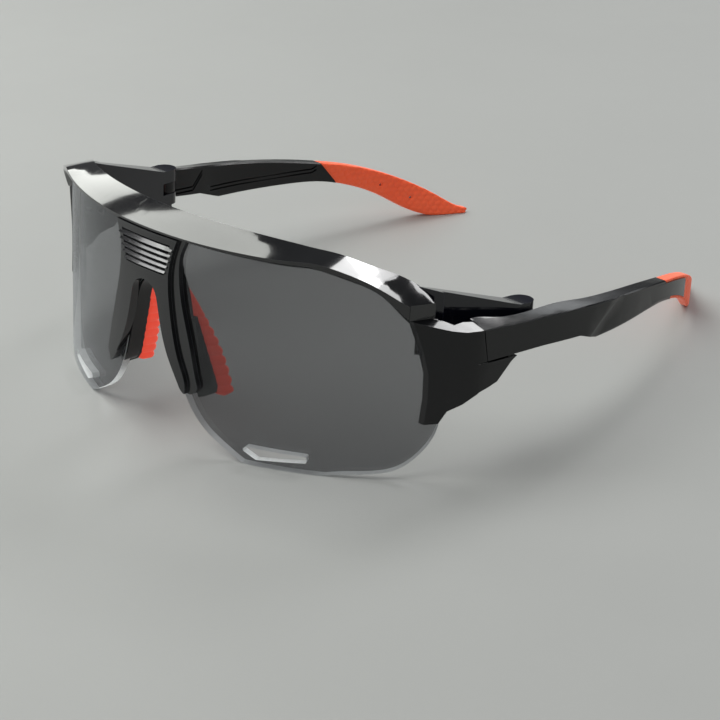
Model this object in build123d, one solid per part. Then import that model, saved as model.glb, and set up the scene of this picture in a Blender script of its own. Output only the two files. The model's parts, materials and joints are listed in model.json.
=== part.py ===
from build123d import *
import os
from math import cos, degrees, sin

# Wraparound sport sunglasses, in millimetres.
#
# Every piece is drawn in the wearer's frame and then set down on the table:
#   +X to the wearer's left, +Y towards the back of the head, +Z up,
#   with the lens's front apex at y = 0 and the brow's lower front edge at z = 0.
# A point on the lens is given by its arc length from the middle and its height.

# ---- Driving dimensions ----
LENS_RADIUS = 90.0        # outer surface of the cylindrical shield lens
LENS_THICKNESS = 2.0
LENS_HALF_ARC = 77.2      # arc length from the middle to the lens's outer edge
LENS_BOTTOM = -53.9
TABLE_Y = 6.4             # the lens's lowest edge, where the table touches it
TABLE_Z = -53.55
TABLE_TILT = 4.6          # the glasses lean back by this much when they stand on the table

BROW_LIP = 2.2            # how far the brow stands in front of the lens, less towards its ends
BROW_DEPTH = 5.2          # how far it reaches behind the lens's outer surface
GROOVE_DEPTH = 0.8        # how far the lens goes up into the brow

BRIDGE_PROUD = 2.4        # height of the bridge cover over the lens
LOUVER_COUNT = 5
LOUVER_PITCH = 1.5

PIN_X = 66.2              # hinge pin
PIN_Y = 60.5
KNUCKLE_RADIUS = 3.0
SCREW_RADIUS = 0.7
KNUCKLE_TOP = -13.1
KNUCKLE_BOTTOM = -23.2
HEAD_RADIUS = 1.5         # of the hinge screw's head and of the threaded insert
NUT_TOP = -14.5
ARM_KNUCKLE_TOP = -16.75
ARM_KNUCKLE_BOTTOM = -19.85
RUNNING_GAP = 0.15        # between faces that turn past each other
SEAM_GAP = 0.35           # between the arm's front end and the side shield

SLIP_GAP = 0.05           # between pieces of one body that only touch
LIP_GAP = 0.3             # between the nose carrier's lip and the lens's edge

PAD_SLOPE = 0.34          # how fast the nose pads spread outwards on their way down
PAD_TOP = (4.9, 0.0, -10.8)
PAD_THICKNESS = 2.5
RIDGE_COUNT = 8


# ---- Helpers ----
def lens_xy(arc, offset=0.0):
    """Plan position at an arc length along the lens, a given distance in front of it."""
    angle = arc / LENS_RADIUS
    radius = LENS_RADIUS + offset
    return radius * sin(angle), LENS_RADIUS - radius * cos(angle)


def front_vector(arc, height):
    """A point of an outline drawn on the lens, seen from straight ahead."""
    return Vector(lens_xy(arc)[0], -10, height)


def front_curve(points, tangents=None):
    scalars = [1, 1] if tangents else None
    vectors = [front_vector(*point) for point in points]
    return Spline(vectors, tangents=tangents, tangent_scalars=scalars)


def front_line(points):
    return Polyline([front_vector(*point) for point in points])


def mirrored(shape):
    return mirror(shape, about=Plane.YZ)


def front_prism(half_outline):
    """A prism through the lens, along Y, from the right half of a closed outline."""
    edges = [edge for line in half_outline for edge in line.edges()]
    edges += [edge for line in half_outline for edge in mirrored(line).edges()]
    face = Face(Wire(edges))
    return extrude(face, amount=70, dir=(0, 1, 0))


def shell(inner_offset, outer_offset, bottom=-60, top=10):
    """The band between two cylinders that share the lens's axis, in front of that axis."""
    height = top - bottom
    outer = Cylinder(LENS_RADIUS + outer_offset, height)
    inner = Cylinder(LENS_RADIUS + inner_offset, height)
    band = Pos(0, LENS_RADIUS, (top + bottom) / 2) * (outer - inner)
    return band & Pos(0, LENS_RADIUS / 2 - 20, 0) * Box(200, LENS_RADIUS + 10, 200)


def side_prism(points, x_low, x_high):
    """A prism along X from an outline in (y, z)."""
    wire = Polyline([Vector(x_low, y, z) for y, z in points], close=True)
    return extrude(Face(Wire(wire)), amount=x_high - x_low, dir=(1, 0, 0))


def plan_prism(points, bottom, top):
    """A prism along Z from an outline in (x, y)."""
    wire = Polyline([Vector(x, y, bottom) for x, y in points], close=True)
    return extrude(Face(Wire(wire)), amount=top - bottom, dir=(0, 0, 1))


def upright_rod(radius, bottom, top, x=PIN_X, y=PIN_Y):
    return Pos(x, y, (bottom + top) / 2) * Cylinder(radius, top - bottom)


def polygon_loft(sections):
    return loft([Face(Wire(Polyline(section, close=True))) for section in sections])


def table_space():
    """Everything below the table's surface, in the wearer's frame."""
    block = Pos(0, 0, -50) * Box(400, 600, 100)
    return Pos(0, TABLE_Y, TABLE_Z) * Rot(TABLE_TILT, 0, 0) * block


# ---- Lens ----
def lens_edges(gap=0.0):
    """Half of the lens's outline, its nose arch narrowed by a gap."""
    arch = [(0, -12.5), (4.1, -14.7), (6.3, -20.3), (8.7, -29.2), (11.0, -37.2), (13.7, -42.6),
            (18.3, -47.5), (23.8, -50.8), (30.0, LENS_BOTTOM)]
    arch = [(max(0, arc - gap), height - gap) for arc, height in arch]
    corner = [(44.0, arch[-1][1]), (54.0, -52.1), (62.0, -51.1), (67.5, -49.6), (72.3, -46.0),
              (75.6, -41.6), (LENS_HALF_ARC, -36.0)]
    top = [(LENS_HALF_ARC, -36.0), (LENS_HALF_ARC, -24.0), (73.0, -15.8), (70.0, -11.6),
           (66.5, -8.2), (62.0, -4.2), (56.0, -1.5), (49.0, 0.3), (38.0, GROOVE_DEPTH - 0.1),
           (0, GROOVE_DEPTH - 0.1)]
    return [
        front_curve(arch, tangents=[(1, 0, 0), (1, 0, -0.45)]),
        front_line([arch[-1], corner[0]]),
        front_curve(corner, tangents=[(1, 0, 0.05), (0, 0, 1)]),
        front_line(top),
    ]


def vent_slot():
    """A tapered slot near the lens's lower edge, cut straight through."""
    corners = [(30.0, -49.2), (29.2, -50.2), (33.0, -52.0), (46.1, -50.4), (46.1, -48.7)]
    wire = Wire(Polyline([front_vector(*corner) for corner in corners], close=True))
    face = fillet(Face(wire).vertices(), 0.5)
    return extrude(face, amount=40, dir=(0, 1, 0))


def lens_space(gap):
    """The room the lens takes, with a gap all round, from its inner to its outer surface."""
    return front_prism(lens_edges(gap)) & shell(-LENS_THICKNESS - gap, gap)


def lens_shield():
    outer_skin = Cylinder(LENS_RADIUS, 80).faces().filter_by(GeomType.CYLINDER)[0]
    outer_skin = Pos(0, LENS_RADIUS, -25) * outer_skin
    trimmed = outer_skin & front_prism(lens_edges())
    for slot in (vent_slot(), mirrored(vent_slot())):
        trimmed = trimmed - slot
    front_face = min(trimmed.faces(), key=lambda face: face.center().Y)
    lens = Solid.thicken(front_face, -LENS_THICKNESS)
    for arc in (-BRIDGE_SCREW_ARC, BRIDGE_SCREW_ARC):
        lens = lens - radial_rod(SCREW_RADIUS + SLIP_GAP, arc, BRIDGE_SCREW_HEIGHT, -4, 2)
    return lens - table_space()


# ---- Brow ----
# arc, lower edge of the lip, upper edge of the lip, height of the rear edge
BROW_STATIONS = [
    (0, 0.0, 0.5, 4.2),
    (13, 0.0, 0.5, 4.1),
    (26, 0.0, 0.6, 3.7),
    (38, 0.0, 0.8, 3.0),
    (49, -0.3, 0.9, 2.0),
    (56, -2.0, -0.9, 0.5),
    (62, -4.6, -3.4, -1.1),
    (66.5, -8.6, -6.1, -2.4),
    (70, -11.6, -8.0, -4.0),
    (74, -13.2, -9.9, -6.0),
    (80, -15.0, -12.0, -9.0),
]


def brow_section(arc, lip_bottom, lip_top, rear_top):
    crown = lip_top + 0.64 * (rear_top - lip_top)
    lip = BROW_LIP - 0.1 * max(0, abs(arc) - 62)
    groove_top = lip_bottom + GROOVE_DEPTH + SLIP_GAP
    wall_bottom = lip_bottom - 2.0
    back = LENS_THICKNESS + SLIP_GAP
    profile = [(lip, lip_bottom), (lip, lip_top), (-2.2, crown), (-BROW_DEPTH, rear_top),
               (-BROW_DEPTH, wall_bottom), (-back, wall_bottom), (-back, groove_top),
               (SLIP_GAP, groove_top), (SLIP_GAP, lip_bottom)]
    return [Vector(*lens_xy(arc, offset), height) for offset, height in profile]


def brow_end_cut():
    """The space behind the brow's ends, where the hinge panels begin."""
    outline = [(40, 27.6), (61.0, 30.3), (70.0, 32.4), (90, 33.5), (90, 60), (40, 60)]
    return plan_prism(outline, -40, 20)


def end_lug():
    """The lug behind the lens's outer edge that the side shield and the panel are fixed to."""
    outline = [(71.0, -9.5), (75.6, -12.0), (75.6, -22.0), (71.3, -22.0)]
    points = [Vector(lens_xy(arc)[0], -10, height) for arc, height in outline]
    prism = extrude(Face(Wire(Polyline(points, close=True))), amount=70, dir=(0, 1, 0))
    return prism & shell(-4.6, -LENS_THICKNESS - SLIP_GAP)


def radial_rod(radius, arc, height, inner_offset, outer_offset):
    """A rod that points straight at the lens's axis."""
    x, y = lens_xy(arc, (inner_offset + outer_offset) / 2)
    turn = Rot(0, 0, degrees(arc / LENS_RADIUS)) * Rot(90, 0, 0)
    return Pos(x, y, height) * turn * Cylinder(radius, outer_offset - inner_offset)


PANEL_SCREW_ARC = 73.2
PANEL_SCREW_HEIGHTS = (-12.6, -18.6)
PANEL_SCREW_SEAT = -6.8       # the heads' underside, as an offset from the lens's surface
BRIDGE_SCREW_ARC = 5.2
BRIDGE_SCREW_HEIGHT = -10.4


def brow_frame():
    right_half = [brow_section(-arc, *levels) for arc, *levels in reversed(BROW_STATIONS[1:])]
    left_half = [brow_section(arc, *levels) for arc, *levels in BROW_STATIONS]
    brow = polygon_loft(right_half + left_half)
    for lug in (end_lug(), mirrored(end_lug())):
        brow = brow + lug
    for cut in (brow_end_cut(), mirrored(brow_end_cut())):
        brow = brow - cut
    for height in PANEL_SCREW_HEIGHTS:
        hole = radial_rod(SCREW_RADIUS, PANEL_SCREW_ARC, height, -7, -2.6)
        brow = brow - hole - mirrored(hole)
    return brow


# ---- Bridge ----
def bridge_edges(inner, outer, foot):
    return [
        front_curve(inner, tangents=[(1, 0, 0), (0.55, 0, -1)]),
        front_curve(foot, tangents=[(0.55, 0, -1), (-0.35, 0, 1)]),
        front_curve(outer, tangents=[(-0.35, 0, 1), (0.5, 0, 1)]),
        front_line([outer[-1], (0, outer[-1][1])]),
    ]


def bridge_flank():
    """The stepped-down strip along the outer side of one leg, as a cutting tool."""
    crest = [(13.4, -40.5), (14.2, -36.4), (12.2, -31.2), (10.2, -24.6), (8.7, -16.0), (8.5, -9.4),
             (9.6, -4.4), (11.6, 0.6)]
    far_side = [crest[-1], (26, 0.6), (26, -40.5), crest[0]]
    edges = front_curve(crest).edges() + front_line(far_side).edges()
    return extrude(Face(Wire(edges)), amount=70, dir=(0, 1, 0)) & shell(1.3, 8)


def louver_pocket():
    """The tapered recess that the slats stand in."""
    top, bottom = (8.9, -2.1), (7.0, -10.1)
    corners = [top, bottom, (-bottom[0], bottom[1]), (-top[0], top[1])]
    face = Face(Wire(Polyline([front_vector(*corner) for corner in corners], close=True)))
    return extrude(face, amount=40, dir=(0, 1, 0)) & shell(1.1, 6)


def bridge_cover():
    """Inverted-Y cover over the lens's nose arch, with a louvered panel."""
    inner = [(0, -13.0), (3.1, -14.1), (4.9, -18.3), (6.3, -24.4), (8.4, -30.2), (12.4, -37.4)]
    foot = [(12.4, -37.4), (14.9, -39.0), (17.0, -36.2)]
    outer = [(17.0, -36.2), (15.0, -28.5), (13.1, -21.5), (11.4, -14.6), (10.8, -8.4), (11.2, -4.4),
             (13.0, -0.4)]
    cover = front_prism(bridge_edges(inner, outer, foot)) & shell(SLIP_GAP, BRIDGE_PROUD)
    cover = cover - bridge_flank() - mirrored(bridge_flank()) - louver_pocket()
    for index in range(LOUVER_COUNT):
        cover = cover + louver(index)
    for arc in (-BRIDGE_SCREW_ARC, BRIDGE_SCREW_ARC):
        cover = cover - radial_rod(SCREW_RADIUS, arc, BRIDGE_SCREW_HEIGHT, -1, 1.6)
    return cover


def louver(index):
    """One slat, a wedge in section, with its sloping face turned up."""
    height = -3.0 - LOUVER_PITCH * index
    half_arc = 9.5 - 0.55 * index
    profile = [(0.9, height - 0.55), (2.75, height - 0.55), (2.9, height - 0.4),
               (2.0, height + 0.45), (0.9, height + 0.45)]
    face = Face(Wire(Polyline([Vector(LENS_RADIUS + r, 0, z) for r, z in profile], close=True)))
    sweep_angle = 2 * degrees(half_arc / LENS_RADIUS)
    slat = revolve(Rot(0, 0, -90 - sweep_angle / 2) * face, Axis.Z, sweep_angle)
    return Pos(0, LENS_RADIUS, 0) * slat


# ---- Nose carrier and pads ----
def pad_plane(shift=0.0):
    """The plane of the left nose pad: u runs back, v runs up along the slope."""
    normal = Vector(1, 0, PAD_SLOPE).normalized()
    return Plane(origin=Vector(*PAD_TOP) + normal * shift, x_dir=(0, 1, 0), z_dir=normal)


def pad_slab(points, thickness):
    face = Face(Wire(Polyline([Vector(u, v, 0) for u, v in points], close=True)))
    slab = extrude(face, amount=thickness / 2, both=True)
    return pad_plane().location * slab


def carrier_fin():
    """The plate that stands back from the lens beside the arch, with the pad's tongue."""
    plate = pad_slab([(2.3, -1.5), (3.4, -1.5), (6.6, -12.0), (8.6, -29.6), (7.8, -31.4),
                      (2.9, -31.4), (2.3, -24.0)], 1.8)
    tongue = pad_slab([(3.0, -6.5), (7.4, -12.5), (10.8, -22.0), (10.8, -29.0), (7.4, -29.0),
                       (5.0, -16.0)], 1.0)
    return plate + tongue


def nose_carrier():
    """U-shaped saddle behind the lens's arch, with a lip round its edge and a fin on each side."""
    inner = [(0, -13.1), (3.2, -15.2), (5.4, -20.6), (7.8, -29.7), (10.6, -37.9)]
    foot = [(10.6, -37.9), (13.0, -39.4), (14.6, -36.9)]
    outer = [(14.6, -36.9), (12.2, -29.0), (9.9, -19.5), (7.6, -12.0), (6.6, -8.6)]
    outline = front_prism(bridge_edges(inner, outer, foot))
    saddle = outline & shell(-4.2, -LENS_THICKNESS - SLIP_GAP)
    lip = (outline & shell(-LENS_THICKNESS - 0.5, 0)) - lens_space(LIP_GAP)
    carrier = saddle + carrier_fin() + mirrored(carrier_fin())
    carrier = carrier - shell(-LENS_THICKNESS - SLIP_GAP, 8) + lip
    for arc in (-BRIDGE_SCREW_ARC, BRIDGE_SCREW_ARC):
        carrier = carrier - radial_rod(SCREW_RADIUS + SLIP_GAP, arc, BRIDGE_SCREW_HEIGHT, -6, 0)
        carrier = carrier - radial_rod(1.45, arc, BRIDGE_SCREW_HEIGHT, -9, -4.2)
    return carrier


def nose_pad():
    """Slip-on rubber pad: a pointed top and a row of ridges down its back edge."""
    top_u, top_v = 9.0, -12.4
    low_u, low_v = 13.2, -32.2
    crests = []
    for index in range(RIDGE_COUNT + 1):
        share = index / RIDGE_COUNT
        bulge = 4.2 * share * (1 - share)
        crests.append((top_u + (low_u - top_u) * share + bulge, top_v + (low_v - top_v) * share))
    outline = [(3.1, -3.0), (4.0, -0.6), (7.2, -8.0), crests[0]]
    for start, stop in zip(crests[:-1], crests[1:]):
        outline.append(((start[0] + stop[0]) / 2 + 1.0, (start[1] + stop[1]) / 2 + 0.35))
        outline.append(stop)
    outline += [(9.4, -33.4), (8.2, -30.4), (6.8, -16.0), (6.2, -12.6), (3.1, -12.2)]
    pad = pad_slab(outline, PAD_THICKNESS)
    return pad - carrier_fin()


# ---- Side shields ----
SEAM_TOP = (38.9, -12.0)      # (y, z) of the seam between the side shield and the arm
SEAM_BOTTOM = (41.1, -22.2)
LEDGE_GAP = 0.4
ARROW_TIP = (63.4, 24.5, -11.1)


def seam_cut(shift, forward):
    """The space in front of the seam, or behind it, moved back by shift."""
    (top_y, top_z), (bottom_y, bottom_z) = SEAM_TOP, SEAM_BOTTOM
    far_y = -40 if forward else 120
    slope = (bottom_y - top_y) / (bottom_z - top_z)
    high = (top_y + shift + slope * (20 - top_z), 20)
    low = (bottom_y + shift, bottom_z)
    return [high, low, (far_y, low[1]), (far_y, high[1])]


def side_plan():
    """Plan of the side shield: it leaves the lens's surface and turns back along the arm."""
    outer = [(73.3, 54.0), (73.3, 42.0), (73.0, 38.4), (72.0, 34.6), (70.1, 31.4)]
    outer += [lens_xy(arc, 1.3) for arc in (74.2, 72.0, 69.0)]
    inner = [lens_xy(arc, -LENS_THICKNESS) for arc in (69.0, 72.0, 75.0, LENS_HALF_ARC)]
    inner += [(68.6, 33.6), (68.6, 36.6), (69.9, 40.0), (69.9, 54.0)]
    return outer + inner


def above_arrow_facet():
    """The space above the bright arrow-shaped facet where the brow meets the arm."""
    along = Vector(9.6, 14.4, -2.8)
    plane = Plane(origin=ARROW_TIP, x_dir=along, z_dir=along.cross(Vector(-4.5, 3.1, 1.5)))
    return plane.location * (Pos(0, 0, 15) * Box(80, 80, 30))


def arrow_clearance():
    """What the brow gives way to: the space over the facet and in front of the side shield."""
    outline = [(63.2, 24.2), (64.9, 31.9), (66.0, 45.0), (90, 45), (90, 10), (66.5, 16)]
    over = plan_prism(outline, -30, 15)
    return over & (above_arrow_facet() + shell(-LENS_THICKNESS, 12))


def side_shield():
    (top_y, top_z), (bottom_y, bottom_z) = SEAM_TOP, SEAM_BOTTOM
    outline = [(24.2, -9.0), (26.6, -17.9), (27.8, -24.1), (27.9, -30.4), (27.5, -37.0),
               (30.0, -36.6), (31.4, -33.4), (39.2, -29.6), (45.1, -28.3), (50.0, -24.2),
               (51.9, bottom_z - LEDGE_GAP - 0.7), (bottom_y + SEAM_GAP, bottom_z - LEDGE_GAP),
               (bottom_y, bottom_z), (top_y, top_z), (top_y - 0.4, -8.0)]
    body = plan_prism(side_plan(), -40, -6) & side_prism(outline, 55, 80)
    groove = side_prism([(32.7, -21.9), (60, -22.4), (60, -22.7), (32.7, -22.2)], 72.95, 76)
    return body - above_arrow_facet() - groove - lens_space(SLIP_GAP)


# ---- Hinge panels ----
def hinge_panel():
    plan = [(60.3, 29.0), (66.6, 29.0), (66.6, 33.6), (63.2, 34.6), (68.7, 56.0),
            (PIN_X + KNUCKLE_RADIUS, PIN_Y), (PIN_X - KNUCKLE_RADIUS, PIN_Y), (60.3, 34.6)]
    profile = [(28.0, -4.3), (31.0, -4.9), (57.2, -13.0), (64.0, KNUCKLE_TOP), (64.0, -22.4),
               (61.4, -25.0), (56.0, -24.0), (28.0, -21.4)]
    panel = plan_prism(plan, -26, 0) & side_prism(profile, 55, 75)
    panel = panel - shell(-4.65, 8)
    panel = panel + upright_rod(KNUCKLE_RADIUS, KNUCKLE_BOTTOM, KNUCKLE_TOP)
    notch = Pos(PIN_X, PIN_Y, (ARM_KNUCKLE_TOP + ARM_KNUCKLE_BOTTOM) / 2) * Box(
        12, 7, ARM_KNUCKLE_TOP - ARM_KNUCKLE_BOTTOM + 2 * RUNNING_GAP)
    panel = panel - notch
    panel = panel - upright_rod(SCREW_RADIUS + 0.02, -30, NUT_TOP + 0.3)
    panel = panel - upright_rod(HEAD_RADIUS + SLIP_GAP, -30, KNUCKLE_BOTTOM + 1.0)
    panel = panel - hinge_nut_blank(HEAD_RADIUS + SLIP_GAP, NUT_TOP - 1.15, NUT_TOP + SLIP_GAP)
    for height in PANEL_SCREW_HEIGHTS:
        panel = panel - radial_rod(SCREW_RADIUS, PANEL_SCREW_ARC, height, -12, -4)
        panel = panel - radial_rod(1.45, PANEL_SCREW_ARC, height, -12, PANEL_SCREW_SEAT)
    return panel


def hinge_nut_blank(radius, bottom, top):
    prism = extrude(RegularPolygon(radius, 6), amount=top - bottom)
    return Pos(PIN_X, PIN_Y, bottom) * prism


def hinge_screw():
    """Driven from below, so that the panel's top stays whole."""
    shank = upright_rod(SCREW_RADIUS, KNUCKLE_BOTTOM + 0.5, NUT_TOP + 0.2)
    head = upright_rod(HEAD_RADIUS, KNUCKLE_BOTTOM + 0.1, KNUCKLE_BOTTOM + 0.95)
    slot = Pos(PIN_X, PIN_Y, KNUCKLE_BOTTOM + 0.1) * Box(4, 0.4, 0.8)
    return shank + head - slot


def hinge_nut():
    """A threaded insert inside the panel's upper knuckle."""
    nut = hinge_nut_blank(HEAD_RADIUS, NUT_TOP - 1.1, NUT_TOP)
    return nut - upright_rod(SCREW_RADIUS, NUT_TOP - 2, NUT_TOP + 1)


def small_screw(arc, height, seat, tip, head_radius=1.35, head_height=0.7):
    """A pan-head screw driven towards the lens from behind, seat and tip as lens offsets."""
    shank = radial_rod(SCREW_RADIUS, arc, height, seat - 0.3, tip)
    head = radial_rod(head_radius, arc, height, seat - head_height, seat)
    recess = radial_rod(0.45, arc, height, seat - head_height - 0.5, seat - 0.35)
    return shank + head - recess


def screw_group(arcs, heights, seat, tip):
    screws = [small_screw(arc, height, seat, tip) for arc in arcs for height in heights]
    return Compound(screws)


# ---- Temple arms ----
# y, outer face x, inner face x, outer top edge z, inner top edge z, bottom z
ARM_STATIONS = [
    (36.0, 73.0, 69.9, -13.6, -12.4, -26.6),
    (48.0, 73.2, 69.9, -14.7, -13.5, -26.7),
    (58.0, 73.4, 69.9, -15.5, -14.5, -26.8),
    (65.0, 73.5, 69.0, -16.0, -15.1, -26.8),
    (80.0, 73.3, 68.8, -17.1, -16.7, -26.9),
    (94.0, 72.3, 67.9, -18.4, -18.1, -26.9),
    (108.0, 69.8, 65.5, -20.0, -19.9, -27.0),
    (120.0, 67.0, 62.8, -21.9, -21.9, -27.8),
    (130.0, 64.0, 59.9, -23.9, -23.9, -30.3),
    (140.0, 60.0, 56.0, -27.0, -27.0, -34.6),
    (149.0, 55.2, 51.4, -31.0, -31.0, -39.9),
    (156.0, 50.4, 46.7, -35.2, -35.2, -41.9),
    (161.0, 46.6, 43.3, -38.4, -38.4, -41.9),
    (163.6, 44.9, 41.6, -39.1, -39.1, -41.6),
]


def arm_section(y, outer, inner, top_outer, top_inner, bottom, step_out=0.0, step_in=0.0):
    chamfer = 0.18 * (top_outer - bottom)
    chamfer = min(chamfer, 0.8)
    outer += step_out
    inner += step_in
    return [Vector(outer - 0.5 * chamfer, y, bottom), Vector(outer, y, bottom + chamfer),
            Vector(outer, y, top_outer - 0.25), Vector(outer - 0.35, y, top_outer),
            Vector(inner + 0.4, y, top_inner), Vector(inner, y, top_inner - 0.4),
            Vector(inner, y, bottom + chamfer), Vector(inner + 0.5 * chamfer, y, bottom)]


def arm_blank(step_out=0.0, step_in=0.0, end=170.0):
    rows = [row for row in ARM_STATIONS if row[0] < end]
    return polygon_loft([arm_section(*row, step_out, step_in) for row in rows])


GRIP_START = [(113.6, -15), (127.7, -32)]    # (y, z) of the slanted joint with the rubber tip
SKIN_END = 137.0                            # where the hard outer skin stops
SKIN_THICKNESS = 1.6
SKIN_PROUD = 0.1
FACET_STEP = 0.5
FRONT_CHANNEL_FLOOR = 69.4                   # x of the floor of the engraved lines near the hinge


def grip_prism(shift=0.0):
    (y_top, z_top), (y_low, z_low) = GRIP_START
    outline = [(y_top + shift, z_top), (y_low + shift, z_low), (180, z_low - 20), (180, z_top)]
    outline.insert(2, (y_low + 7.8 + shift, z_low - 20))
    return side_prism(outline, 30, 80)


def outer_skin():
    """The hard outer skin that runs on over the rubber tip."""
    rows = [row for row in ARM_STATIONS if 105 < row[0] < 135]
    rows.append((SKIN_END, 61.3, 57.3, -26.0, -26.0, -33.3))
    sections = []
    for y, outer, _, top, _, bottom in rows:
        proud = -SKIN_PROUD if y == rows[0][0] else SKIN_PROUD
        face_x = outer - FACET_STEP + proud
        back_x = face_x - SKIN_THICKNESS
        low, high = bottom + 1.0, top - 0.8
        sections.append([Vector(face_x, y, low), Vector(face_x, y, high),
                         Vector(back_x, y, high), Vector(back_x, y, low)])
    return polygon_loft(sections)


def past_ramp():
    """The space outside the slanted facet where the arm's raised front part ends."""
    along, inward = Vector(-0.7, 11.5, 8.4), Vector(-1.3, 5.5, -0.4)
    plane = Plane(origin=(73.3, 78.5, -26.9), x_dir=along, z_dir=inward.cross(along))
    return plane.location * (Pos(0, 0, 15) * Box(120, 120, 30))


def bottom_notch():
    outline = [(30, -22.1), (SEAM_BOTTOM[0], -22.2), (51.0, -22.7), (61.6, -23.2), (75.8, -24.3),
               (80.2, -25.8), (84.8, -27.3), (84.8, -32), (30, -32)]
    return side_prism(outline, 60, 80)


def inner_channels(blank, shallow):
    """Two engraved double lines along the arm's inner face."""
    front = [(66.0, -22.8), (73.0, -22.8), (76.6, -18.6)]
    rear = [(75.4, -21.6), (79.4, -24.3), (116.4, -24.4), (118.0, -23.6)]
    cuts = []
    for path, last_x in ((front, FRONT_CHANNEL_FLOOR), (rear, 71.5)):
        for spread in (0.0, 1.1):
            line = [(y, z + spread) for y, z in path]
            cuts.append(side_groove(line, last_x))
    front_cut = cuts[0] + cuts[1]
    rear_cut = (cuts[2] + cuts[3]) & blank
    return front_cut + (rear_cut - shallow)


def side_groove(path, last_x, width=0.5):
    """A thin straight-sided groove along a path in (y, z), cut in the X direction."""
    grooves = []
    for start, stop in zip(path[:-1], path[1:]):
        length = ((stop[0] - start[0]) ** 2 + (stop[1] - start[1]) ** 2) ** 0.5
        across = (-(stop[1] - start[1]) / length * width / 2, (stop[0] - start[0]) / length * width / 2)
        corners = [(start[0] + across[0], start[1] + across[1]), (stop[0] + across[0], stop[1] + across[1]),
                   (stop[0] - across[0], stop[1] - across[1]), (start[0] - across[0], start[1] - across[1])]
        grooves.append(side_prism(corners, 55, last_x))
    joined = grooves[0]
    for groove in grooves[1:]:
        joined = joined + groove
    return joined


def core_strip(width_in, margin):
    """The flat stiffening core's slot, from the arm into the rubber tip."""
    rows = [row for row in ARM_STATIONS if 105 < row[0] < 158]
    sections = []
    for y, outer, inner, top_outer, top_inner, bottom in rows:
        middle = (outer + inner) / 2 - 0.3
        centre = (top_outer + bottom) / 2
        half = min(1.6, (top_outer - bottom) / 2 - 1.6) + margin
        sections.append([Vector(middle - width_in, y, centre - half), Vector(middle + width_in, y, centre - half),
                         Vector(middle + width_in, y, centre + half), Vector(middle - width_in, y, centre + half)])
    return polygon_loft(sections)


def temple_core():
    return core_strip(0.5, 0.0)


def arm_pieces():
    """The hard arm and the rubber tip of the left temple."""
    full = arm_blank(step_out=-FACET_STEP)
    shallow = arm_blank(step_out=1.0, step_in=0.45, end=131.0)
    proud = arm_blank(end=109.0)
    front_zone = side_prism([(30, -10), (94, -10), (94, -32), (30, -32)], 60, 80) - past_ramp()
    skin = outer_skin()
    grip_space = grip_prism()
    arm = (full - grip_space) + (proud & front_zone)
    arm = arm + skin
    arm = arm - bottom_notch() - side_prism(seam_cut(SEAM_GAP, forward=True), 60, 80)
    arm = arm - inner_channels(full, shallow)
    arm = arm - core_strip(0.5 + SLIP_GAP, SLIP_GAP)
    arm = arm + arm_knuckle() - upright_rod(SCREW_RADIUS + 0.05, -30, 0)
    tip = (full & grip_prism(SLIP_GAP)) - skin - core_strip(0.5 + SLIP_GAP, SLIP_GAP)
    tip = tip - support_holes() - table_space()
    return arm, tip


def support_holes():
    """Two small moulding holes in the tip's inner face."""
    holes = None
    for x, y, z in ((53.5, 139.5, -30.9), (49.0, 148.5, -35.6)):
        hole = Pos(x, y, z) * Rot(0, 90, 0) * Cylinder(0.5, 9)
        holes = hole if holes is None else holes + hole
    return holes


def arm_knuckle():
    barrel = upright_rod(KNUCKLE_RADIUS - 0.2, ARM_KNUCKLE_BOTTOM, ARM_KNUCKLE_TOP)
    web = plan_prism([(PIN_X, PIN_Y - 2.0), (71.0, PIN_Y - 2.0), (71.0, PIN_Y + 6.0),
                      (PIN_X + 2.2, PIN_Y + 6.0), (PIN_X, PIN_Y + 2.8)],
                     ARM_KNUCKLE_BOTTOM, ARM_KNUCKLE_TOP)
    return barrel + web


# ---- Assembly ----
def sunglasses():
    shield = side_shield()
    brow = brow_frame()
    for blocker in (shield, arrow_clearance()):
        brow = brow - blocker - mirrored(blocker)
    carrier = nose_carrier()
    arm, tip = arm_pieces()
    sided = {
        "nose_pad": nose_pad() - carrier,
        "side_shield": shield,
        "hinge_panel": hinge_panel() - brow - shield,
        "hinge_screw": hinge_screw(),
        "hinge_nut": hinge_nut(),
        "temple_arm": arm,
        "temple_core": temple_core(),
        "temple_tip": tip,
    }
    panel_arcs = (-PANEL_SCREW_ARC, PANEL_SCREW_ARC)
    bridge_arcs = (-BRIDGE_SCREW_ARC, BRIDGE_SCREW_ARC)
    pieces = {
        "lens_shield": lens_shield(),
        "brow_frame": brow,
        "bridge_cover": bridge_cover(),
        "nose_carrier": carrier,
        "panel_screws": screw_group(panel_arcs, PANEL_SCREW_HEIGHTS, PANEL_SCREW_SEAT, -2.7),
        "bridge_screws": screw_group(bridge_arcs, (BRIDGE_SCREW_HEIGHT,), -4.2, 1.5),
    }
    for name, piece in sided.items():
        pieces[name + "_left"] = piece
        pieces[name + "_right"] = mirrored(piece)
    return pieces


def on_the_table(pieces):
    """Turn the pieces so that the table is level, and centre them over the origin."""
    level = Rot(-TABLE_TILT, 0, 0) * Pos(0, -TABLE_Y, -TABLE_Z)
    turned = {name: level * piece for name, piece in pieces.items()}
    boxes = [piece.bounding_box() for piece in turned.values()]
    front = min(box.min.Y for box in boxes)
    back = max(box.max.Y for box in boxes)
    place = Pos(0, -(front + back) / 2, 0)
    return {name: place * piece for name, piece in turned.items()}


os.makedirs("parts", exist_ok=True)
for node, solid in on_the_table(sunglasses()).items():
    export_step(solid, f"parts/{node}.step")
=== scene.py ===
"""Looks for the wraparound sport sunglasses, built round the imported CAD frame. Metres, +Z up."""

import json
from math import cos, hypot, pi, radians, sin, sqrt

import bpy
from mathutils import Matrix, Vector


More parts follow.
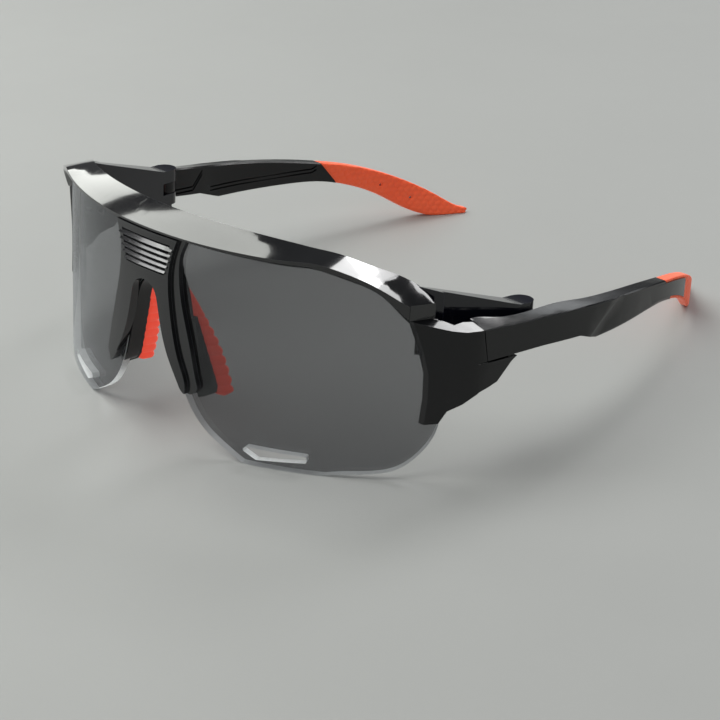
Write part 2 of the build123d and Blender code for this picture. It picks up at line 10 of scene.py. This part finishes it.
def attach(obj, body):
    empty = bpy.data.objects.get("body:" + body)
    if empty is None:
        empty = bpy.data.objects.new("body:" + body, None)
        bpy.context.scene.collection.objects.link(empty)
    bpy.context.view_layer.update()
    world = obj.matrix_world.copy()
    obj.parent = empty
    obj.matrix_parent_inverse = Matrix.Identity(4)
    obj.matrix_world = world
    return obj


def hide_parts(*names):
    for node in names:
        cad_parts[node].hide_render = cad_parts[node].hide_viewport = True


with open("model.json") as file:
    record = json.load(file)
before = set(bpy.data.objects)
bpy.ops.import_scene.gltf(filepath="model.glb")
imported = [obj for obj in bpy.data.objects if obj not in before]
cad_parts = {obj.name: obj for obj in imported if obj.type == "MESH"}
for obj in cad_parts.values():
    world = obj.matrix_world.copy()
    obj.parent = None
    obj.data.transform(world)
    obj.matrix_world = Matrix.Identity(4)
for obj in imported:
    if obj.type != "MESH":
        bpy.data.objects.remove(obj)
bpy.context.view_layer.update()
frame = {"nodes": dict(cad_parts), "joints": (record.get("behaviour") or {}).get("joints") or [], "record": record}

NODES = frame["nodes"]
HINGE = Vector(frame["joints"][0]["pos_m"])      # left hinge, on its axis
UPRIGHT = Vector(frame["joints"][0]["axis"])     # the lens's and the hinges' direction
REARWARD = UPRIGHT.cross(Vector((1, 0, 0)))
SIDEWAYS = Vector((1, 0, 0))
HINGE_PLACE = Vector((66.2, 60.5, -18.15))       # the same point in the wearer's millimetres
LENS_RADIUS = 90                                 # millimetres


def from_wearer(x, y, z):
    """The frame's point for millimetres from the lens's top front middle, with the lens upright."""
    away = Vector((x, y, z)) - HINGE_PLACE
    return HINGE + (SIDEWAYS * away.x + REARWARD * away.y + UPRIGHT * away.z) / 1000


LENS_AXIS = from_wearer(0, LENS_RADIUS, 0)


# ---- Shader helpers ----
def add(tree, kind, inputs=None, **settings):
    """A new node with its settings made and its inputs filled or linked."""
    node = tree.nodes.new(kind)
    for name, value in settings.items():
        setattr(node, name, value)
    for name, value in (inputs or {}).items():
        if isinstance(value, bpy.types.NodeSocket):
            tree.links.new(value, node.inputs[name])
        else:
            node.inputs[name].default_value = value
    return node


def calc(tree, operation, first, second=0.0, clamp=False):
    """The result of a Math node on two values or links."""
    node = add(tree, "ShaderNodeMath", {0: first, 1: second}, operation=operation, use_clamp=clamp)
    return node.outputs[0]


def spread(tree, value, low, high):
    """Stretches a 0 to 1 value to run from low to high."""
    node = add(tree, "ShaderNodeMapRange", {"Value": value, "To Min": low, "To Max": high})
    return node.outputs["Result"]


def step_up(tree, value, start, stop):
    """0 below start, 1 above stop, smooth between."""
    node = add(tree, "ShaderNodeMapRange", {"Value": value, "From Min": start, "From Max": stop},
               interpolation_type="SMOOTHSTEP")
    return node.outputs["Result"]


def blend_colour(tree, share, first, second):
    """A mix of two colours, all the second one at a share of 1."""
    node = add(tree, "ShaderNodeMix", data_type="RGBA")
    for socket, value in ((0, share), (6, first), (7, second)):
        if isinstance(value, bpy.types.NodeSocket):
            tree.links.new(value, node.inputs[socket])
        else:
            node.inputs[socket].default_value = value
    return node.outputs[2]


def place(tree, scale=(1, 1, 1), turn=(0, 0, 0)):
    """Object coordinates, stretched and turned."""
    coordinates = add(tree, "ShaderNodeTexCoord").outputs["Object"]
    mapping = add(tree, "ShaderNodeMapping", {"Vector": coordinates, "Scale": scale, "Rotation": turn})
    return mapping.outputs["Vector"]


def noise(tree, scale, detail=4.0, roughness=0.55, stretch=(1, 1, 1), turn=(0, 0, 0)):
    """Noise fixed to the object, scale being its features per metre."""
    node = add(tree, "ShaderNodeTexNoise", {"Vector": place(tree, stretch, turn), "Scale": scale,
                                            "Detail": detail, "Roughness": roughness})
    return node.outputs["Fac"]


def bump(tree, height, depth, strength=1.0, under=None):
    """A normal from a height pattern, on top of another normal if one is given."""
    inputs = {"Height": height, "Distance": depth, "Strength": strength}
    if under is not None:
        inputs["Normal"] = under
    return add(tree, "ShaderNodeBump", inputs).outputs["Normal"]


def edge_mask(tree, radius):
    """1 along sharp edges, fading to 0 one radius away."""
    rounded = add(tree, "ShaderNodeBevel", {"Radius": radius}, samples=6).outputs["Normal"]
    flat = add(tree, "ShaderNodeNewGeometry").outputs["Normal"]
    dot = add(tree, "ShaderNodeVectorMath", {0: rounded, 1: flat}, operation="DOT_PRODUCT")
    return step_up(tree, calc(tree, "SUBTRACT", 1.0, dot.outputs["Value"]), 0.03, 0.2)


def start_material(name):
    made = bpy.data.materials.new(name)
    made.use_nodes = True
    made.node_tree.nodes.clear()
    return made, made.node_tree


def finish_material(tree, surface):
    add(tree, "ShaderNodeOutputMaterial", {"Surface": surface})


# ---- Materials ----
DUST_LIFT = 0.035          # how much lighter a speck of dust is
WORN_LIFT = 0.02           # and a rubbed edge, which also has three times the colour


def moulded_black(name, colour, roughness, grain=0.0, coat=0.0, shine=0.5):
    """Injection-moulded black plastic: faint flow marks, hairlines, dust and rubbed edges."""
    made, tree = start_material(name)
    smudges = noise(tree, 55, detail=3)
    specks = step_up(tree, noise(tree, 2600, detail=2), 0.7, 0.78)
    hairs = noise(tree, 420, detail=2, stretch=(1, 0.06, 1), turn=(0.3, 0.2, 0.9))
    hairlines = step_up(tree, hairs, 0.66, 0.72)
    edges = edge_mask(tree, 0.00035)
    rough = spread(tree, smudges, roughness * 0.7, roughness * 1.4)
    rough = calc(tree, "ADD", rough, calc(tree, "MULTIPLY", hairlines, 0.09))
    rough = calc(tree, "ADD", rough, calc(tree, "MULTIPLY", specks, 0.12), clamp=True)
    worn = [3 * channel + WORN_LIFT for channel in colour] + [1]
    dusty = [channel + DUST_LIFT for channel in colour] + [1]
    shade = blend_colour(tree, calc(tree, "MULTIPLY", edges, 0.55), [*colour, 1], worn)
    shade = blend_colour(tree, calc(tree, "MULTIPLY", specks, 0.3), shade, dusty)
    relief = bump(tree, noise(tree, 170, detail=1), 0.00006, 0.35)
    if grain:
        relief = bump(tree, noise(tree, 3200, detail=3), grain, 0.6, relief)
    relief = bump(tree, hairlines, 0.000006, 0.25, relief)
    surface = add(tree, "ShaderNodeBsdfPrincipled", {
        "Base Color": shade, "Roughness": rough, "Normal": relief, "IOR": 1.52,
        "Specular IOR Level": shine, "Coat Weight": coat, "Coat Roughness": 0.04})
    finish_material(tree, surface.outputs[0])
    return made


TINT_DARK = (0.465, 0.467, 0.475, 1)     # what one surface of the lens lets through
TINT_LIGHT = (0.50, 0.502, 0.51, 1)
SHADOW_TINT = (0.86, 0.86, 0.865, 1)     # for light that falls through, paler than the tint would give
HEAD_ON_MIRROR = 0.035


def lens_face_mask(tree):
    """1 on the lens's curved faces, which point at its axis, and 0 on the ground edges."""
    coordinates = add(tree, "ShaderNodeTexCoord")
    away = add(tree, "ShaderNodeVectorMath", {0: coordinates.outputs["Object"], 1: LENS_AXIS},
               operation="SUBTRACT").outputs[0]
    upward = add(tree, "ShaderNodeVectorMath", {0: away, 1: UPRIGHT}, operation="PROJECT").outputs[0]
    level = add(tree, "ShaderNodeVectorMath", {0: away, 1: upward}, operation="SUBTRACT").outputs[0]
    radial = add(tree, "ShaderNodeVectorMath", {0: level}, operation="NORMALIZE").outputs[0]
    facing = add(tree, "ShaderNodeVectorMath", {0: radial, 1: coordinates.outputs["Normal"]},
                 operation="DOT_PRODUCT").outputs["Value"]
    return step_up(tree, calc(tree, "ABSOLUTE", facing), 0.6, 0.9)


def smoke_lens():
    """Grey-tinted polycarbonate: clear through its faces, frosted and bright on its ground edges."""
    made, tree = start_material("smoke lens")
    slant = add(tree, "ShaderNodeLayerWeight", {"Blend": 0.5}).outputs["Facing"]
    mirror = calc(tree, "POWER", slant, 3.2)
    mirror = calc(tree, "ADD", calc(tree, "MULTIPLY", mirror, 0.55), HEAD_ON_MIRROR)
    smears = noise(tree, 38, detail=4)
    film = spread(tree, smears, 0.012, 0.05)
    relief = bump(tree, noise(tree, 45, detail=1), 0.00003, 0.15)
    tint = blend_colour(tree, noise(tree, 14, detail=1), TINT_DARK, TINT_LIGHT)
    casting = add(tree, "ShaderNodeLightPath").outputs["Is Shadow Ray"]
    tint = blend_colour(tree, casting, tint, SHADOW_TINT)
    clear = add(tree, "ShaderNodeBsdfTransparent", {"Color": tint})
    haze = add(tree, "ShaderNodeBsdfDiffuse", {"Color": (0.30, 0.30, 0.31, 1)})
    body = add(tree, "ShaderNodeMixShader", {0: spread(tree, smears, 0.008, 0.03),
                                             1: clear.outputs[0], 2: haze.outputs[0]})
    gloss = add(tree, "ShaderNodeBsdfGlossy", {"Color": (0.95, 0.97, 1.0, 1), "Roughness": film,
                                               "Normal": relief})
    face = add(tree, "ShaderNodeMixShader", {0: mirror, 1: body.outputs[0], 2: gloss.outputs[0]})

    ground = add(tree, "ShaderNodeBsdfPrincipled", {
        "Base Color": (0.80, 0.82, 0.83, 1), "Roughness": spread(tree, noise(tree, 500), 0.2, 0.34),
        "IOR": 1.58, "Normal": bump(tree, noise(tree, 900, detail=2), 0.00001, 0.3)})
    piped = add(tree, "ShaderNodeBsdfTranslucent", {"Color": (0.85, 0.87, 0.88, 1)})
    rim = add(tree, "ShaderNodeMixShader", {0: 0.45, 1: ground.outputs[0], 2: piped.outputs[0]})
    surface = add(tree, "ShaderNodeMixShader", {0: lens_face_mask(tree), 1: rim.outputs[0],
                                                2: face.outputs[0]})
    finish_material(tree, surface.outputs[0])
    return made


TIP_PAINTED_GLOW = 0.17            # painted glow, brightening the red beyond what the lamps give; imitates a fluorescent pigment, and isn't a measured property
PAD_PAINTED_GLOW = 0.5             # more painted glow, to make up for the tinted lens in front of the near pad


def red_rubber(name, light, deep, painted_glow):
    """Soft elastomer with a fine grain and a painted glow: it emits some light of its own colour, though it is no
    lamp.
    """
    made, tree = start_material(name)
    patches = noise(tree, 70, detail=4)
    fine = noise(tree, 2400, detail=3)
    shade = blend_colour(tree, patches, deep, light)
    pore = [0.6 * channel for channel in deep[:3]] + [1]
    shade = blend_colour(tree, spread(tree, fine, 0, 0.25), shade, pore)
    rough = spread(tree, patches, 0.34, 0.52)
    relief = bump(tree, fine, 0.00003, 0.5)
    # the emission is a painted glow in the rubber's own colour
    surface = add(tree, "ShaderNodeBsdfPrincipled", {
        "Base Color": shade, "Roughness": rough, "Normal": relief, "IOR": 1.45,
        "Subsurface Weight": 0.12, "Subsurface Scale": 0.0012, "Sheen Weight": 0.15,
        "Sheen Roughness": 0.4, "Emission Color": shade, "Emission Strength": painted_glow})
    surface.inputs["Subsurface Radius"].default_value = (1.0, 0.25, 0.1)
    finish_material(tree, surface.outputs[0])
    return made


def turned_metal(name, colour, roughness):
    """Small turned or drawn metal part with tool marks and tarnish."""
    made, tree = start_material(name)
    marks = noise(tree, 1500, detail=2, stretch=(1, 1, 6))
    tarnish = noise(tree, 320, detail=4)
    darker = [channel * 0.55 for channel in colour] + [1]
    shade = blend_colour(tree, tarnish, darker, [*colour, 1])
    rough = spread(tree, tarnish, roughness * 0.7, roughness * 1.5)
    surface = add(tree, "ShaderNodeBsdfPrincipled", {
        "Base Color": shade, "Roughness": rough, "Metallic": 1.0,
        "Normal": bump(tree, marks, 0.00002, 0.5)})
    finish_material(tree, surface.outputs[0])
    return made


def table_top():
    """Plain pale matte sheet."""
    made, tree = start_material("table")
    dark, light = (0.285, 0.288, 0.285, 1), (0.31, 0.313, 0.31, 1)
    shade = blend_colour(tree, noise(tree, 6, detail=3), dark, light)
    surface = add(tree, "ShaderNodeBsdfPrincipled", {
        "Base Color": shade, "Roughness": spread(tree, noise(tree, 30), 0.55, 0.7),
        "Normal": bump(tree, noise(tree, 1400, detail=2), 0.00006, 0.4)})
    finish_material(tree, surface.outputs[0])
    return made


def dress_nodes():
    """Gives every CAD node the material of its slot, and returns the materials by slot."""
    black = (0.0065, 0.0068, 0.0078)
    looks = {
        "smoke_lens": smoke_lens(),
        "brow_black": moulded_black("brow black", black, 0.09, coat=0.6),
        "cover_black": moulded_black("cover black", (0.010, 0.0105, 0.012), 0.16, coat=0.3),
        "carrier_black": moulded_black("carrier black", black, 0.14),
        "shield_black": moulded_black("shield black", black, 0.11, shine=0.36),
        "panel_black": moulded_black("panel black", (0.006, 0.0065, 0.012), 0.10, coat=0.3, shine=0.4),
        "arm_black": moulded_black("arm black", black, 0.16, grain=0.00001, shine=0.34),
        # tip rubber with a painted glow
        "soft_red": red_rubber("tip rubber", (1.0, 0.165, 0.060, 1), (1.0, 0.105, 0.035, 1), TIP_PAINTED_GLOW),
        "core_wire": turned_metal("spring steel", (0.55, 0.56, 0.57), 0.25),
        "screw_dark": turned_metal("dark screw steel", (0.20, 0.20, 0.21), 0.28),
        "nut_brass": turned_metal("nut brass", (0.72, 0.52, 0.24), 0.3),
    }
    for entry in frame["record"]["subparts"]:
        mesh = NODES[entry["node"]].data
        mesh.materials.clear()
        mesh.materials.append(looks[entry["material_slot"]])
    return looks


# ---- Mesh helpers ----
def ramp(value, start, stop):
    """0 before start, 1 after stop, straight between."""
    return min(1.0, max(0.0, (value - start) / (stop - start)))


def signed_power(value, exponent):
    """A power that keeps the value's sign, which squares off a circle."""
    return abs(value) ** exponent * (1 if value > 0 else -1)


def add_piece(name, mesh, material, body, node):
    """Puts a smooth mesh on a body in place of a CAD node, with the material it is given."""
    mesh.materials.clear()
    mesh.materials.append(material)
    mesh.polygons.foreach_set("use_smooth", [True] * len(mesh.polygons))
    piece = bpy.data.objects.new(name, mesh)
    bpy.context.scene.collection.objects.link(piece)
    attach(piece, body)
    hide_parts(node)


# ---- Nose pads ----
PAD_ORIGIN = Vector((4.9, 0, -10.8))     # all in the wearer's millimetres
PAD_SLOPE = 0.34
PAD_FACING = Vector((1, 0, PAD_SLOPE)).normalized()
PAD_BACK = Vector((0, 1, 0))
PAD_UP = PAD_FACING.cross(PAD_BACK)
PAD_LOW, PAD_SHOULDER, PAD_TIP = -33.0, -12.2, -0.8
PAD_NECK = (6.2, 9.3)                    # front and rear edge where the ribbed slab meets the cone
RIB_COUNT = 8
RIB_EDGE_DEPTH = 1.0                     # how deep the grooves between ribs are at the rear edge
RIB_FACE_DEPTH = 0.5
PAD_ROWS, PAD_STEPS = 150, 40


def pad_edges(height):
    """Front and rear edge at a height along the slope: the cone reaches forward over the fin."""
    front, rear = PAD_NECK
    if height < PAD_SHOULDER:
        down = (PAD_SHOULDER - height) / (PAD_SHOULDER - PAD_LOW)
        return front + 2.2 * down, rear + 4.1 * down + 5.6 * down * (1 - down)
    up = (height - PAD_SHOULDER) / (PAD_TIP - PAD_SHOULDER)
    return max(3.1, front - 30 * up), rear - 5.0 * up ** 1.15


def rib_swell(height):
    """1 on the crest of a rib, 0 in the groove between two ribs and 1 all along the cone."""
    if height > PAD_SHOULDER:
        return 1.0
    along = (PAD_SHOULDER - height) / (PAD_SHOULDER - PAD_LOW) * RIB_COUNT
    return abs(sin(pi * along)) ** 0.55 if height > PAD_LOW else 0.0


def pad_ring(height, side):
    """Points round the pad at one height: a rounded slab that closes at both ends."""
    front, rear = pad_edges(height)
    swell = rib_swell(height)
    closing = ramp(height, PAD_LOW, PAD_LOW + 0.9) ** 0.5 * ramp(-height, -PAD_TIP, 2.4 - PAD_TIP) ** 0.5
    closing = max(0.05, closing)
    middle = (front + rear) / 2
    half_width = (rear - front) / 2 * closing
    half_depth = (0.95 + 0.4 * min(1.0, (rear - front) / 5)) * closing
    ring = []
    for index in range(PAD_STEPS):
        angle = 2 * pi * index / PAD_STEPS
        across, out = signed_power(cos(angle), 0.62), signed_power(sin(angle), 0.75)
        groove = (1 - swell) * (0.6 + 0.4 * max(0.0, across))
        back = middle + (half_width - RIB_EDGE_DEPTH * groove * max(0.0, across)) * across
        depth = out * (half_depth - RIB_FACE_DEPTH * groove)
        lift = height - 0.13 * (back - middle)
        spot = PAD_ORIGIN + PAD_FACING * depth + PAD_BACK * back + PAD_UP * lift
        ring.append(from_wearer(spot.x * side, spot.y, spot.z))
    return ring


def skin_over(rings):
    """Faces that join closed rings of points, with both ends closed."""
    steps = len(rings[0])
    points = [point for ring in rings for point in ring]
    faces = [list(range(steps))[::-1]]
    for row in range(len(rings) - 1):
        for index in range(steps):
            following = (index + 1) % steps
            faces.append([row * steps + index, row * steps + following,
                          (row + 1) * steps + following, (row + 1) * steps + index])
    faces.append([(len(rings) - 1) * steps + index for index in range(steps)])
    return points, faces


def build_nose_pads(material):
    heights = [PAD_LOW + (PAD_TIP - PAD_LOW) * row / PAD_ROWS for row in range(PAD_ROWS + 1)]
    for name, side in (("left", 1), ("right", -1)):
        points, faces = skin_over([pad_ring(height, side) for height in heights])
        if side < 0:
            faces = [face[::-1] for face in faces]
        mesh = bpy.data.meshes.new("ribbed pad")
        mesh.from_pydata([tuple(point) for point in points], [], faces)
        add_piece("ribbed_pad_" + name, mesh, material, "front", "nose_pad_" + name)


# ---- Rubber tips ----
TIP_VOXEL = 0.00033
CELL_PITCH = 0.0019
CELL_DEPTH = 0.00032


def cell_groove(point):
    """0 on the pillows of a honeycomb seen from the side, rising to 1 in the grooves between."""
    back = point.dot(REARWARD) / CELL_PITCH
    up = point.dot(UPRIGHT) / (CELL_PITCH * sqrt(3))
    nearest = 1.0
    for shift in (0.0, 0.5):
        across = (back + shift) % 1.0 - 0.5
        along = ((up + shift) % 1.0 - 0.5) * sqrt(3)
        nearest = min(nearest, hypot(across, along))
    return ramp(nearest, 0.32, 0.54)


def soft_copy(node):
    """A fine, even mesh of a CAD node with its edges softened."""
    blank = bpy.data.objects.new("tip blank", NODES[node].data.copy())
    bpy.context.scene.collection.objects.link(blank)
    remesh = blank.modifiers.new("remesh", "REMESH")
    remesh.mode = "VOXEL"
    remesh.voxel_size = TIP_VOXEL
    soften = blank.modifiers.new("soften", "SMOOTH")
    soften.factor = 0.5
    soften.iterations = 3
    evaluated = blank.evaluated_get(bpy.context.evaluated_depsgraph_get())
    mesh = bpy.data.meshes.new_from_object(evaluated)
    bpy.data.objects.remove(blank)
    return mesh


def build_tips(material):
    """Rubber tips with a honeycomb pressed into their broad faces, fading out towards the edges."""
    for side in ("left", "right"):
        node = "temple_tip_" + side
        mesh = soft_copy(node)
        for vertex in mesh.vertices:
            broad = 1 - ramp(abs(vertex.normal.dot(UPRIGHT)), 0.40, 0.75)
            vertex.co -= vertex.normal * CELL_DEPTH * broad * cell_groove(vertex.co)
        add_piece("honeycomb_tip_" + side, mesh, material, side + "_temple", node)


# ---- Rounded edges ----
EDGE_ROUNDING = {              # radius in metres
    "brow_frame": 0.00035,
    "bridge_cover": 0.00018,
    "nose_carrier": 0.00015,
    "side_shield": 0.0004,
    "hinge_panel": 0.00025,
    "temple_arm": 0.00025,
}


def round_edges(piece, radius):
    """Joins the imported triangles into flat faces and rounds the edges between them."""
    weld = piece.modifiers.new("weld", "WELD")
    weld.merge_threshold = 1e-6
    flats = piece.modifiers.new("flats", "DECIMATE")
    flats.decimate_type = "DISSOLVE"
    flats.angle_limit = radians(0.4)
    bevel = piece.modifiers.new("rounding", "BEVEL")
    bevel.width = radius
    bevel.segments = 3
    bevel.limit_method = "ANGLE"
    bevel.angle_limit = radians(28)
    bevel.use_clamp_overlap = True
    normals = piece.modifiers.new("normals", "WEIGHTED_NORMAL")
    normals.keep_sharp = False
    normals.weight = 80


def round_nodes():
    for name, piece in NODES.items():
        stem = name.removesuffix("_left").removesuffix("_right")
        if stem in EDGE_ROUNDING:
            round_edges(piece, EDGE_ROUNDING[stem])


# ---- Stage, light and camera ----
def build_floor():
    """A flat sheet just under the object, so that the two never share a plane."""
    half = 3.0
    mesh = bpy.data.meshes.new("floor")
    mesh.from_pydata([(-half, -half, 0), (half, -half, 0), (half, half, 0), (-half, half, 0)], [],
                     [(0, 1, 2, 3)])
    floor = bpy.data.objects.new("floor", mesh)
    floor.location.z = -0.0001
    mesh.materials.append(table_top())
    bpy.context.scene.collection.objects.link(floor)


def softbox(name, where, aim, size, power, tint=(1, 1, 1)):
    """A rectangular area light that faces a point."""
    lamp = bpy.data.lights.new(name, "AREA")
    lamp.shape = "RECTANGLE"
    lamp.size, lamp.size_y = size
    lamp.energy = power
    lamp.color = tint
    holder = bpy.data.objects.new(name, lamp)
    holder.location = where
    holder.rotation_mode = "QUATERNION"
    holder.rotation_quaternion = (Vector(aim) - Vector(where)).to_track_quat("-Z", "Y")
    bpy.context.scene.collection.objects.link(holder)


def build_lights():
    softbox("overhead", (-0.36, -0.26, 0.95), (0, -0.05, 0.03), (1.25, 0.80), 13.5, (0.98, 1, 0.95))
    softbox("brow light", (-0.86, 0.26, 0.46), (0, -0.05, 0.05), (0.50, 0.26), 1.5, (0.98, 1, 0.95))
    softbox("louver light", (-0.75, -0.62, 0.72), (0, -0.08, 0.05), (0.55, 0.40), 4.2)
    softbox("end piece light", (-0.16, 0.66, 0.68), (0.07, -0.05, 0.04), (0.34, 0.26), 1.8)
    softbox("arm light", (-0.38, 1.45, 0.60), (0.07, 0, 0.03), (0.9, 0.34), 1.6, (0.95, 0.98, 1))
    softbox("rim strip", (0.12, 0.95, 0.85), (0, 0.02, 0.04), (1.3, 0.10), 2.6)
    softbox("front right", (1.1, -0.35, 0.75), (0, 0, 0.02), (0.30, 0.7), 1.6)
    world = bpy.data.worlds.new("studio")
    world.use_nodes = True
    backdrop = world.node_tree.nodes["Background"]
    backdrop.inputs["Color"].default_value = (0.86, 0.88, 0.9, 1)
    backdrop.inputs["Strength"].default_value = 0.085
    bpy.context.scene.world = world


CAMERA_EYE = Vector((0.3561, -0.36373, 0.2366))
CAMERA_RIGHT = Vector((0.7104, 0.7038, -0.0095))
CAMERA_UP = Vector((-0.2996, 0.3146, 0.9007))
FOCAL_LENGTH = 101.8          # millimetres, on a 36 mm wide sensor


def build_camera():
    lens = bpy.data.cameras.new("camera")
    lens.lens = FOCAL_LENGTH
    lens.sensor_width = 36
    lens.clip_start = 0.01
    camera = bpy.data.objects.new("camera", lens)
    backward = CAMERA_RIGHT.cross(CAMERA_UP).normalized()
    right = CAMERA_UP.cross(backward).normalized()
    turn = Matrix((right, backward.cross(right), backward)).transposed()
    camera.matrix_world = Matrix.Translation(CAMERA_EYE) @ turn.to_4x4()
    bpy.context.scene.collection.objects.link(camera)
    bpy.context.scene.camera = camera


# ---- The scene ----
materials = dress_nodes()
round_nodes()
# pad rubber with a painted glow, stronger than the tips'
build_nose_pads(red_rubber("pad rubber", (1.0, 0.11, 0.06, 1), (0.95, 0.075, 0.04, 1), PAD_PAINTED_GLOW))
build_tips(materials["soft_red"])
build_floor()
build_lights()
build_camera()
bpy.context.scene.view_settings.view_transform = "Standard"
